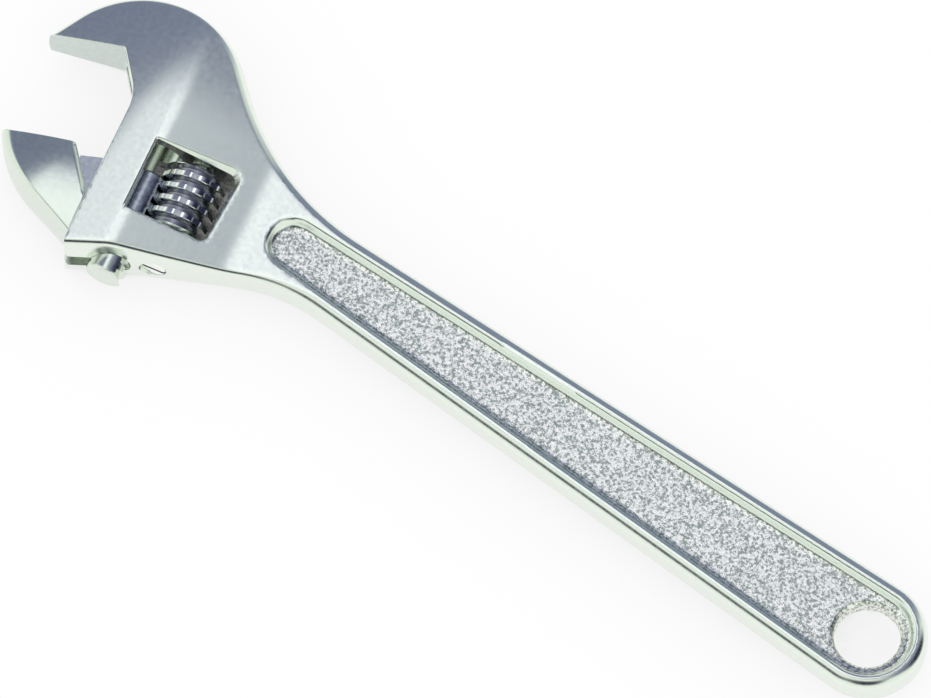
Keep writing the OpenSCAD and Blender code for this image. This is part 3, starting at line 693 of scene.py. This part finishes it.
def nestRows():  # rows of points along the bevel of the nesting edge
    a, length, run = nestEdge()
    over = meshing["nestOver"]
    along = np.arange(-over, length + over, meshing["nestStep"])[:, None] * run
    inward = np.array([-run[1], run[0]])
    return np.concatenate([a + along + d * inward for d in meshing["nestRows"]])


def makeJaw():
    s = slidingJaw
    lean = math.degrees(slideLean)
    turn = s["backStraight"] + lean
    centre = toPlan(*s["backCentre"])
    past = centre + s["backRadius"] * direction(turn) + s["backRadius"] * direction(turn + 90)
    points, normals = joinRuns([arc(centre, s["backRadius"], lean, turn),
                                (past[None], direction(turn)[None])])
    crownP = s["crownAt"][0]
    toTip = np.clip((toSlide(points)[0] - crownP) / (machined["tipP"] - crownP), 0, 1)
    rounding = s["heelEdge"] + (s["tipEdge"] - s["heelEdge"]) * toTip ** 2
    forged = ringsDown(points, normals, rounding, forging["wallBulge"], jawHeight)
    a, b, c = s["nest"]
    faceEnd = (s["faceEndP"], faceQ(s["faceEndP"]) + machined["jawOpen"])
    corners = [toPlan(*corner) for corner in ((a[0], s["nestTopQ"]), a, b, c, faceEnd)]
    run = [(corners[0][None], -acrossAxis[None])]
    for before, corner, after, radius in zip(corners, corners[1:], corners[2:], s["nestRounds"]):
        run.append(filletArc(before, corner, after, radius))
    run.append((corners[-1][None], direction(machined["jawAngle"] - 90)[None]))
    points, normals = joinRuns(run)
    cut = ringsDown(points, normals, s["edge"] + 0 * points[:, 0], 0.0, jawHeight)
    outer = closeRings(forged, cut)
    low, high = outer[0][0].min(0), outer[0][0].max(0)
    rows = nestRows()
    grid = thin(gridPoints(low, high, meshing["jawGrid"]), rows, meshing["nestGap"])
    slab = plateMesh("sliding_jaw_steel", [outer], jawHeight, np.concatenate([rows, grid]))
    inner, edge = s["neckHeel"], s["neckEdge"]
    neck = prism("neck", [
        (0, s["neckStart"]), (s["neckTurn"], s["neckStart"]), (edge, s["neckEdgeStart"]),
        (edge, s["neckTopEdge"]), (inner, s["neckTopHeel"]), (inner, s["neckEnd"]), (0, s["neckEnd"])],
        -s["neckHeight"] / 2, s["neckHeight"] / 2)
    return combine(slab, [neck, makeShank()], "UNION")


def markNeck(piece):  # the faces of the neck and shank, inside the head, take the second material, a darker steel painted as the shade inside the head
    s = slidingJaw
    over = s["markOver"]
    for face in piece.data.polygons:
        centre = np.array(face.center[:2]) / mm
        p, q = toSlide(centre)
        z = abs(face.center.z) / mm
        shank = p < s["neckTurn"] - over and z < s["shankRadius"] + over
        bare = abs(face.normal.z) > s["markFlat"] or nestDistance(centre[None])[0] < -s["markOutside"]
        neck = z < s["neckHeight"] / 2 + over and bare
        face.material_index = int((shank or neck) and q < s["neckShadeEnd"])


def makeShank():
    s, w = slidingJaw, worm
    r, q0, q1, c = s["shankRadius"], s["shankStart"], s["shankEnd"], s["shankChamfer"]
    end, soft = s["shankEndChamfer"], s["shankEndSoft"] * s["shankEndChamfer"]
    shank = turned("shank", [(r - c, q0), (r, q0 + c), (r, s["neckShadeEnd"]), (r, q1 - end),
                             (r - soft, q1 - soft), (r - end, q1)], 0)
    cutRadius, over = w["coreRadius"] + w["gap"], s["reliefOver"]
    relief = turned("relief", [(cutRadius, q0 - over), (cutRadius, q1 + over)], wormP, s["grooveSteps"])
    shape = bmesh.new()
    reach, tip = w["radius"] + w["gap"], w["crest"] / 2 + w["gap"]
    flank = (w["root"] - w["crest"]) / 2 / (w["radius"] - w["coreRadius"])
    inner = w["coreRadius"] - s["grooveOver"]
    wide = tip + (reach - inner) * flank
    pitch = w["pitch"]
    for k in range(math.ceil((q0 - pitch) / pitch), math.floor((q1 + pitch) / pitch) + 1):
        turnedShape(shape, [(inner, -wide), (reach, -tip), (reach, tip), (inner, wide)],
                    slideMatrix(wormP, -w["leadAngle"], k * pitch), s["grooveSteps"], closed=True)
    return combine(combine(shank, [relief]), [pieceFrom("grooves", shape)])


# ---- the worm, its pin and spring

def newTree(name, inputs):
    tree = bpy.data.node_groups.new(name, "GeometryNodeTree")
    tree.interface.new_socket("Geometry", in_out="OUTPUT", socket_type="NodeSocketGeometry")
    for key, value in inputs.items():
        kind = "NodeSocketInt" if isinstance(value, int) else "NodeSocketFloat"
        tree.interface.new_socket(key, in_out="INPUT", socket_type=kind).default_value = value
    tree.interface.new_socket("Finish", in_out="INPUT", socket_type="NodeSocketMaterial")
    return tree


class Graph:  # short ways to add nodes and join them
    def __init__(self, tree):
        self.tree = tree

    def add(self, kind, inputs=(), **settings):
        node = self.tree.nodes.new(kind)
        for key, value in settings.items():
            setattr(node, key, value)
        for key, value in dict(inputs).items():
            self.join(value, node.inputs[key])
        return node

    def join(self, value, socket):
        if isinstance(value, bpy.types.NodeSocket):
            self.tree.links.new(value, socket)
        else:
            socket.default_value = value

    def math(self, operation, *values):
        return self.add("ShaderNodeMath", enumerate(values), operation=operation).outputs[0]

    def plus(self, a, b):
        return self.math("ADD", a, b)

    def minus(self, a, b):
        return self.math("SUBTRACT", a, b)

    def times(self, a, b):
        return self.math("MULTIPLY", a, b)


class ShapeGraph(Graph):
    def __init__(self, tree):
        super().__init__(tree)
        self.given = self.add("NodeGroupInput").outputs

    def mix(self, a, b, t):
        return self.plus(self.times(a, self.minus(1.0, t)), self.times(b, t))

    def clip(self, value, low, high):
        return self.math("MINIMUM", self.math("MAXIMUM", value, low), high)

    def ease(self, value, low, high):  # 0 at low to 1 at high, with soft ends
        return self.add("ShaderNodeMapRange", {"Value": value, "From Min": low, "From Max": high},
                        interpolation_type="SMOOTHSTEP").outputs[0]

    def end(self, geometry):  # real mesh with its material
        real = self.add("GeometryNodeRealizeInstances", {"Geometry": geometry})
        made = self.add("GeometryNodeSetMaterial", {"Geometry": real.outputs[0],
                                                    "Material": self.given["Finish"]})
        self.add("NodeGroupOutput", {0: made.outputs[0]})


def grow(name, tree, finish, matrix):  # runs a node tree and keeps plain mesh
    piece = link(name, bpy.data.meshes.new(name))
    step = piece.modifiers.new("shape", "NODES")
    step.node_group = tree
    step[tree.interface.items_tree["Finish"].identifier] = finish
    settle(piece)
    piece.data.transform(matrix)
    return piece


def wormTree():
    w = worm
    tree = newTree("worm_thread", {"Pitch": w["pitch"], "Radius": w["radius"], "Core": w["coreRadius"],
                                   "Notches": w["notches"], "Notch depth": w["notchDepth"]})
    g = ShapeGraph(tree)
    given = g.given
    grid = g.add("GeometryNodeMeshGrid", {"Size X": 1.0, "Size Y": 1.0, "Vertices Y": w["rows"],
                                          "Vertices X": w["notches"] * w["notchColumns"] + 1})
    place = g.add("ShaderNodeSeparateXYZ", {"Vector": g.add("GeometryNodeInputPosition").outputs[0]})
    turn = g.plus(place.outputs["X"], 0.5)
    angle = g.times(turn, 2 * math.pi)
    middle = (w["end"] + w["start"]) / 2
    along = g.plus(g.times(place.outputs["Y"], w["span"]), middle)
    along = g.plus(along, g.times(g.minus(turn, 0.5), given["Pitch"]))
    # distance to the nearest crest, once the helix is taken off
    wound = g.minus(along, g.times(turn, given["Pitch"]))
    nearest = g.times(g.math("ROUND", g.math("DIVIDE", wound, given["Pitch"])), given["Pitch"])
    off = g.math("ABSOLUTE", g.minus(wound, nearest))
    thread = g.ease(off, w["root"] / 2, w["crest"] / 2)
    wave = g.math("COSINE", g.times(angle, given["Notches"]))
    notch = g.ease(wave, w["notchFrom"], w["notchTo"])
    crest = g.minus(given["Radius"], g.times(notch, given["Notch depth"]))
    radius = g.plus(given["Core"], g.times(g.minus(crest, given["Core"]), thread))
    inward = g.math("MINIMUM", g.minus(along, w["start"]), g.minus(w["end"], along))
    steep = (w["radius"] - w["coreRadius"]) / w["taper"]
    taper = g.plus(g.times(g.math("MAXIMUM", inward, 0.0), steep), given["Core"])
    radius = g.math("MINIMUM", radius, taper)
    # past the ends the surface turns in over the faces and down the bore
    past = g.math("MAXIMUM", g.times(inward, -1.0), 0.0)
    low = g.math("LESS_THAN", along, middle)
    bore = g.plus(w["bore"], g.times(low, w["springBore"] - w["bore"]))
    radius = g.mix(radius, bore, g.math("MINIMUM", past, 1.0))
    deep = g.clip(g.minus(past, 1.0), 0.0, 1.0)
    side = g.minus(1.0, g.times(low, 2.0))
    depth = g.mix(w["end"] - w["start"] - w["springDepth"], w["springDepth"], low)
    height = g.times(side, g.times(deep, depth))
    height = g.minus(g.clip(along, w["start"], w["end"]), height)
    shoulder = g.times(g.clip(g.minus(past, 2.0), 0.0, 1.0), low)
    radius = g.mix(radius, w["bore"], shoulder)
    spot = g.add("ShaderNodeCombineXYZ", {
        "X": g.times(radius, g.math("COSINE", angle)), "Y": g.times(radius, g.math("SINE", angle)),
        "Z": height})
    moved = g.add("GeometryNodeSetPosition", {"Geometry": grid.outputs["Mesh"],
                                              "Position": spot.outputs[0]})
    merged = g.add("GeometryNodeMergeByDistance", {"Geometry": moved.outputs[0], "Distance": w["mergeGap"]})
    g.end(merged.outputs[0])
    return tree


def makeWorm(finish):
    w = worm
    piece = grow("knurled_worm", wormTree(), finish, slideMatrix(wormP))
    print(f"worm: {len(piece.data.polygons)} faces")
    piece = smooth(piece, w["sharpOver"])
    places = vertexPlaces(piece)
    p, _ = toSlide(places[:, :2])
    outward = np.hypot(p - wormP, places[:, 2])
    # how deep into the grooves each point lies; the worm's finish paints shade there
    addValues(piece, "groove", np.clip((w["radius"] - outward) / (w["radius"] - w["coreRadius"]), 0, 1))
    return piece


def makePin():
    s = pin
    r, head, q1 = s["radius"], s["headRadius"], s["end"]
    q0, seat = s["start"], s["end"] - s["headHeight"]
    point, bevel, p = s["pointBevel"], s["seatBevel"], wormP
    profile = [(r - point, q0), (r, q0 + point), (r, seat), (head - bevel, seat), (head, seat + bevel)]
    profile += [(head - inset, q1 - drop) for inset, drop in s["headCrown"]]
    piece = turned("worm_pin_steel", profile, p)
    over, low, half = s["slotOver"], q1 - s["slotDepth"], s["slotWidth"] / 2
    slot = prism("driveSlot", [(p - head - over, low), (p + head + over, low),
                               (p + head + over, q1 + over), (p - head - over, q1 + over)], -half, half)
    return smooth(combine(piece, [slot]), s["sharpOver"])


def makeSpring(finish):
    s = spring
    tree = newTree("pin_spring", {"Turns": s["turns"], "Radius": s["radius"], "Wire": s["wire"],
                                  "Length": s["length"]})
    g = ShapeGraph(tree)
    given = g.given
    coil = g.add("GeometryNodeCurveSpiral", {
        "Resolution": s["coilSteps"], "Rotations": given["Turns"], "Height": given["Length"],
        "Start Radius": given["Radius"], "End Radius": given["Radius"]})
    wire = g.add("GeometryNodeCurvePrimitiveCircle", {"Resolution": s["wireSteps"],
                                                      "Radius": given["Wire"]})
    tube = g.add("GeometryNodeCurveToMesh", {"Curve": coil.outputs[0], "Profile Curve": wire.outputs[0],
                                             "Fill Caps": True})
    g.end(tube.outputs[0])
    piece = grow("pin_spring", tree, finish, slideMatrix(wormP, 0, s["start"]))
    return smooth(piece, s["sharpOver"])


# ---- finishes

forgedSteel = {
    "bright": (0.87, 0.92, 0.85), "dull": (0.83, 0.885, 0.815), "roughness": 0.22, "panelRoughness": 0.25,
    "grainSize": 0.42, "grainDepth": 0.05, "speckSize": 0.42, "panelBright": (1.0, 1.0, 0.94),
    "panelDull": (0.34, 0.39, 0.36), "satinDepth": 0.004,
}
millingSteel = {"bright": (0.79, 0.85, 0.77), "dull": (0.74, 0.81, 0.73), "roughness": 0.22,
                "satinDepth": 0.004}
# painted shade: darker steel for the neck and shank where they sit inside the head
neckShadeSteel = {"bright": (0.5, 0.54, 0.6), "dull": (0.3, 0.33, 0.38), "roughness": 0.25,
              "satinDepth": 0.004}
# the jaw face: rougher ground finish, and its darker colour is painted shade
groundShadedSteel = {"bright": (0.68, 0.75, 0.71), "dull": (0.6, 0.67, 0.64), "roughness": 0.3,
               "satinDepth": 0.004}
# brightSteel's groove colour is painted shade: the worm's steel is painted darker down in its grooves,
# where the thread shades itself
brightSteel = {"bright": (0.96, 0.98, 0.95), "dull": (0.9, 0.93, 0.9), "roughness": 0.1,
               "satinDepth": 0.001, "grooveShade": (0.34, 0.34, 0.4), "grooveShadeFrom": 0.8, "grooveShadeDulling": 0.2}
texture = {  # noise as size, detail and roughness, and the spans that are cut out of it
    "satin": (0.3, 2.0), "mottle": (0.7, 3.0), "mottleSpan": (0.3, 0.7), "roughSpread": 0.03,
    "panelSpan": (0.75, 0.98), "grain": (2.0, 0.6), "fineShare": 0.4, "fineHeight": 0.5,
    "speck": (3.0, 0.7), "speckSpan": (0.43, 0.54),
}


class SurfaceGraph(Graph):
    def noise(self, places, size, detail, roughness=0.5):  # size of its features in millimetres
        return self.add("ShaderNodeTexNoise", {"Vector": places, "Scale": 1 / (size * 2 * mm),
                                               "Detail": detail, "Roughness": roughness}).outputs["Fac"]

    def blend(self, factor, a, b):  # between two colours
        node = self.add("ShaderNodeMix", {"Factor": factor}, data_type="RGBA")
        for value, socket in zip((a, b), node.inputs[6:8]):  # the colour sockets
            self.join(value if isinstance(value, bpy.types.NodeSocket) else (*value, 1), socket)
        return node.outputs[2]

    def span(self, value, a, b, low, high):
        return self.add("ShaderNodeMapRange", {"Value": value, "From Min": a, "From Max": b,
                                               "To Min": low, "To Max": high}).outputs[0]

    def end(self, surface, kind="ShaderNodeOutputMaterial"):
        self.add(kind, {"Surface": surface})


def newMaterial(name):
    material = bpy.data.materials.new(name)
    material.use_nodes = True
    material.node_tree.nodes.clear()
    return material, material.node_tree


def metal(name, look, panel=False, groove=False):
    material, tree = newMaterial(name)
    g = SurfaceGraph(tree)
    places = g.add("ShaderNodeTexCoord").outputs["Object"]
    satin = g.noise(places, *texture["satin"])
    mottle = g.noise(places, *texture["mottle"])
    height = g.times(satin, look["satinDepth"])
    low, high = look["roughness"] - texture["roughSpread"], look["roughness"] + texture["roughSpread"]
    rough = g.span(mottle, *texture["mottleSpan"], low, high)
    colour = g.blend(g.span(mottle, *texture["mottleSpan"], 0.0, 1.0), look["dull"], look["bright"])
    if panel:
        inside = g.add("ShaderNodeAttribute", attribute_name="panel").outputs["Fac"]
        inside = g.span(inside, *texture["panelSpan"], 0.0, 1.0)
        coarse = g.noise(places, look["grainSize"], *texture["grain"])
        fine = g.noise(places, look["grainSize"] * texture["fineShare"], *texture["grain"])
        fine = g.times(fine, look["grainDepth"] * texture["fineHeight"])
        grain = g.plus(g.times(coarse, look["grainDepth"]), fine)
        height = g.plus(height, g.times(grain, inside))
        rough = g.plus(rough, g.times(inside, look["panelRoughness"] - look["roughness"]))
        speck = g.noise(places, look["speckSize"], *texture["speck"])
        speck = g.span(speck, *texture["speckSpan"], 0.0, 1.0)
        colour = g.blend(inside, colour, g.blend(speck, look["panelDull"], look["panelBright"]))
    # painted shade: the colour darkens down in the grooves, where the thread shades itself, and the steel
    # is also rougher there
    if groove:
        deep = g.add("ShaderNodeAttribute", attribute_name="groove").outputs["Fac"]
        deep = g.span(deep, look["grooveShadeFrom"], 1.0, 0.0, 1.0)
        colour = g.blend(deep, colour, look["grooveShade"])
        rough = g.plus(rough, g.times(deep, look["grooveShadeDulling"]))
    bump = g.add("ShaderNodeBump", {"Height": height, "Distance": mm, "Strength": 1.0})
    shader = g.add("ShaderNodeBsdfPrincipled", {"Base Color": colour, "Metallic": 1.0, "Roughness": rough,
                                                "Normal": bump.outputs["Normal"]})
    g.end(shader.outputs[0])
    return material


bodySteel = metal("forged_chrome", forgedSteel, panel=True)
jawSteel = metal("ground_chrome", millingSteel)
neckSteel = metal("shaded_neck_steel", neckShadeSteel)
faceSteel = metal("ground_shaded_face", groundShadedSteel)
wormSteel = metal("polished_chrome", brightSteel, groove=True)
pinSteel = metal("turned_chrome", brightSteel)
springSteel = metal("spring_wire", millingSteel)

# ---- pieces

body = makeBody()
dress(body, bodySteel, faceSteel)
markFace(body)
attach(body, "frame")
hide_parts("body")
print("body made")

jaw = smooth(makeJaw(), slidingJaw["sharpOver"])
dress(jaw, jawSteel, neckSteel)
markNeck(jaw)
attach(jaw, "jaw")
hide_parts("sliding_jaw")
print("sliding jaw made")

wormPiece = makeWorm(wormSteel)
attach(wormPiece, "worm")
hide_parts("worm")

pinPiece = makePin()
dress(pinPiece, pinSteel)
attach(pinPiece, "frame")
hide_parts("worm_pin")

springPiece = makeSpring(springSteel)
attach(springPiece, "frame")
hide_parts("worm_spring")
print("worm, pin and spring made")

# ---- floor, light and camera

studio = {
    "floorSize": 8.0, "floorAt": 0.14, "floorGap": 0.0004, "floorWhite": 0.9, "shadeSamples": 16,
    "nearReach": 0.02, "nearSpan": (0.08, 0.26), "farReach": 0.05, "farShade": 0.16,
    "skyPale": (0.92, 0.97, 0.91),
    "darkPlaces": (  # direction, inner and outer angle, colour
        ((0.42, -0.5, 0.76), 24.0, 41.0, (0.18, 0.2, 0.3)),
        ((0.25, -0.9, 0.36), 18.0, 34.0, (0.22, 0.26, 0.36)),
        ((0.2, 0.75, 0.62), 9.0, 18.0, (0.03, 0.03, 0.06)),
        ((-0.36, 0.55, 0.75), 15.0, 27.0, (0.02, 0.02, 0.05)),
        ((0.2, -0.1, 0.97), 7.0, 15.0, (0.2, 0.22, 0.25)),
        ((-0.5, -0.28, 0.82), 16.0, 30.0, (0.2, 0.22, 0.32)),
        ((-0.68, -0.5, 0.48), 16.0, 28.0, (0.02, 0.02, 0.05))),
    "boxToward": (0.16, -0.185, 0.955), "boxAway": 2.4, "boxSize": (0.72, 1.18), "boxGlow": 1.02,
    "lookAt": (0.1404, -0.00435, 0.0), "cameraBack": (-0.228, 0.311, 0.9225),
    "cameraRight": (-0.8066, -0.5912, 0.0), "cameraAway": 8.0, "clip": (0.1, 40),
    "frameWidth": 0.2572, "sensor": 36.0,
}


def makeFloor():
    shape = bmesh.new()
    bmesh.ops.create_grid(shape, x_segments=1, y_segments=1, size=studio["floorSize"] / 2)
    floor = pieceFrom("floor", shape)
    place = (studio["floorAt"], 0, cadLow[2] - studio["floorGap"])
    floor.data.transform(Matrix.Translation(place))
    material, tree = newMaterial("pale_floor")
    g = SurfaceGraph(tree)
    # seen or mirrored, the floor is white and keeps the soft shade that the object gives it
    light = g.add("ShaderNodeLightPath").outputs
    shown = g.math("MAXIMUM", g.math("MAXIMUM", light["Is Camera Ray"], light["Is Glossy Ray"]),
                   light["Is Transmission Ray"])
    near, far = (g.add("ShaderNodeAmbientOcclusion", {"Distance": studio[key]},
                       samples=studio["shadeSamples"]).outputs["AO"] for key in ("nearReach", "farReach"))
    far = g.span(far, 0.0, 1.0, 1 - studio["farShade"], 1.0)
    strength = g.times(g.span(near, *studio["nearSpan"], 0.0, 1.0), far)
    glow = g.add("ShaderNodeEmission", {"Color": (1, 1, 1, 1), "Strength": strength})
    matt = g.add("ShaderNodeBsdfDiffuse", {"Color": (*[studio["floorWhite"]] * 3, 1)})
    mix = g.add("ShaderNodeMixShader", {0: shown, 1: matt.outputs[0], 2: glow.outputs[0]})
    g.end(mix.outputs[0])
    dress(floor, material)


def makeSky():  # pale all round, with dark places that the steel mirrors
    world = bpy.data.worlds.new("studio")
    world.use_nodes = True
    tree = world.node_tree
    tree.nodes.clear()
    g = SurfaceGraph(tree)
    places = g.add("ShaderNodeTexCoord").outputs["Generated"]
    sky = studio["skyPale"]
    for toward, inner, outer, colour in studio["darkPlaces"]:
        near = g.add("ShaderNodeVectorMath", {0: places, 1: Vector(toward).normalized()},
                     operation="DOT_PRODUCT").outputs["Value"]
        near = g.span(near, *(math.cos(math.radians(a)) for a in (outer, inner)), 0.0, 1.0)
        sky = g.blend(near, sky, colour)
    back = g.add("ShaderNodeBackground", {"Color": sky, "Strength": 1.0})
    g.end(back.outputs[0], "ShaderNodeOutputWorld")
    bpy.context.scene.world = world


def makeLight():
    data = bpy.data.lights.new("softbox", "AREA")
    wide, deep = studio["boxSize"]
    data.shape, data.size, data.size_y = "RECTANGLE", wide, deep
    data.energy = studio["boxGlow"] * math.pi * wide * deep
    toward = Vector(studio["boxToward"]).normalized()
    across = (Vector((1, 0, 0)) - toward.x * toward).normalized()
    spot = Vector((*headAt, 0)) * mm + toward * studio["boxAway"]
    link("softbox", data).matrix_world = placed(spot, across, toward)


def makeCamera():
    data = bpy.data.cameras.new("camera")
    away = studio["cameraAway"]
    data.sensor_width, data.lens = studio["sensor"], studio["sensor"] * away / studio["frameWidth"]
    data.clip_start, data.clip_end = studio["clip"]
    back = Vector(studio["cameraBack"]).normalized()
    right = Vector(studio["cameraRight"]).normalized()
    camera = link("camera", data)
    camera.matrix_world = placed(Vector(studio["lookAt"]) + back * away, right, back)
    bpy.context.scene.camera = camera


makeFloor()
makeSky()
makeLight()
makeCamera()
bpy.context.scene.view_settings.view_transform = "Standard"

print("ready")
